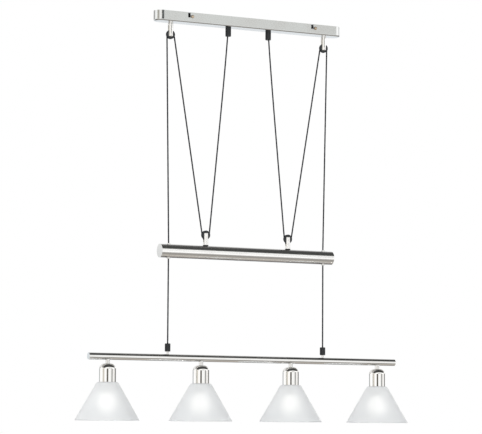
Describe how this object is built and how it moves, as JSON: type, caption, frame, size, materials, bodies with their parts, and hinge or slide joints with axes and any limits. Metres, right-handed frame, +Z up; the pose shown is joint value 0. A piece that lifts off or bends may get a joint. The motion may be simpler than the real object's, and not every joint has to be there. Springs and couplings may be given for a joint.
{
  "type": "rise and fall pendant",
  "caption": "Rise and fall ceiling pendant: cone shades on a bar, hung on cords that run over pulleys and through a balancing counterweight.",
  "frame": {"origin": "centre of the canopy and its bracket on the ceiling plane; the whole pendant hangs below it", "axes": "+Z up out of the ceiling face, +X along the lamp bar, +Y across it; the pictured front looks towards -Y"},
  "size_m": [0.8516, 0.1466, 0.95],
  "materials": {
    "satin_nickel": "satin",
    "polished_nickel": "polished",
    "brushed_steel": "satin",
    "zinc_steel": "satin",
    "brass": "satin",
    "black_plastic": "matte",
    "black_rubber": "matte",
    "black_cord": "matte",
    "white_plastic": "satin",
    "guide_steel": "satin",
    "wire_plastic": "satin",
    "opal_glass": "satin",
    "bulb_glass": "satin",
    "bulb_base_metal": "satin"
  },
  "bodies": {
    "canopy": {"canopy_shell": "satin_nickel", "mounting_bracket": "zinc_steel", "bracket_side_screws": "satin_nickel", "terminal_block": "white_plastic", "earth_screw": "brass", "canopy_wiring": "wire_plastic", "ceiling_fork_left": "satin_nickel", "ceiling_fork_right": "satin_nickel", "ceiling_fork_nuts": "zinc_steel", "ceiling_pulley_pins": "satin_nickel", "canopy_grip_left": "black_plastic", "canopy_grip_right": "black_plastic", "canopy_grip_nuts": "zinc_steel", "cord_left_ceiling_bend": "black_cord", "cord_right_ceiling_bend": "black_cord", "cord_left_inner_leg": "black_cord", "cord_right_inner_leg": "black_cord", "cord_left_outer_leg": "black_cord", "cord_right_outer_leg": "black_cord", "cord_left_drop": "black_cord", "cord_right_drop": "black_cord"},
    "weight": {"weight_tube": "brushed_steel", "weight_end_left": "brushed_steel", "weight_end_right": "brushed_steel", "ballast_bar": "brass", "cord_guides": "guide_steel", "guide_bushings": "white_plastic", "weight_fork_left": "satin_nickel", "weight_fork_right": "satin_nickel", "weight_fork_washers": "black_rubber", "weight_pulley_pins": "satin_nickel", "cord_left_weight_bend": "black_cord", "cord_right_weight_bend": "black_cord", "cord_left_lower": "black_cord", "cord_right_lower": "black_cord"},
    "lamp": {"lamp_bar": "polished_nickel", "bar_end_caps": "polished_nickel", "bar_grip_left": "black_plastic", "bar_grip_right": "black_plastic", "bar_grip_stems": "satin_nickel", "lamp_stems": "satin_nickel", "nipple_nuts": "zinc_steel", "bar_wiring": "wire_plastic", "lamp_cap_1": "polished_nickel", "lamp_cap_2": "polished_nickel", "lamp_cap_3": "polished_nickel", "lamp_cap_4": "polished_nickel", "lampholders": "white_plastic", "shade_rings": "white_plastic", "glass_shade_1": "opal_glass", "glass_shade_2": "opal_glass", "glass_shade_3": "opal_glass", "glass_shade_4": "opal_glass", "bulb_glasses": "bulb_glass", "bulb_bases": "bulb_base_metal"},
    "ceiling_pulley_left": {"ceiling_pulley_left": "black_plastic"},
    "ceiling_pulley_right": {"ceiling_pulley_right": "black_plastic"},
    "weight_pulley_left": {"weight_pulley_left": "black_plastic"},
    "weight_pulley_right": {"weight_pulley_right": "black_plastic"}
  },
  "joints": [
    {"name": "weight_slide", "type": "slide", "parent": "canopy", "child": "weight", "axis": [0, 0, 1], "range_m": [-0.064, 0.3], "deforming": ["cord_left_inner_leg", "cord_left_outer_leg", "cord_left_drop", "cord_right_inner_leg", "cord_right_outer_leg", "cord_right_drop"]},
    {"name": "lamp_slide", "type": "slide", "parent": "weight", "child": "lamp", "axis": [0, 0, 1], "range_m": [-0.9, 0.192], "deforming": ["cord_left_lower", "cord_right_lower"]},
    {"name": "ceiling_pulley_left_spin", "type": "hinge", "parent": "canopy", "child": "ceiling_pulley_left", "pos_m": [-0.203, 0, -0.0535], "axis": [0, 1, 0], "continuous": true},
    {"name": "ceiling_pulley_right_spin", "type": "hinge", "parent": "canopy", "child": "ceiling_pulley_right", "pos_m": [0.203, 0, -0.0535], "axis": [0, 1, 0], "continuous": true},
    {"name": "weight_pulley_left_spin", "type": "hinge", "parent": "weight", "child": "weight_pulley_left", "pos_m": [-0.108, 0, -0.518], "axis": [0, 1, 0], "continuous": true},
    {"name": "weight_pulley_right_spin", "type": "hinge", "parent": "weight", "child": "weight_pulley_right", "pos_m": [0.108, 0, -0.518], "axis": [0, 1, 0], "continuous": true}
  ],
  "couplings": [
    {"joint": "lamp_slide", "follows": "weight_slide", "ratio": -3},
    {"joint": "ceiling_pulley_left_spin", "follows": "weight_slide", "rad_per_m": -222.22},
    {"joint": "ceiling_pulley_right_spin", "follows": "weight_slide", "rad_per_m": 222.22},
    {"joint": "weight_pulley_left_spin", "follows": "weight_slide", "rad_per_m": 111.11},
    {"joint": "weight_pulley_right_spin", "follows": "weight_slide", "rad_per_m": -111.11}
  ]
}
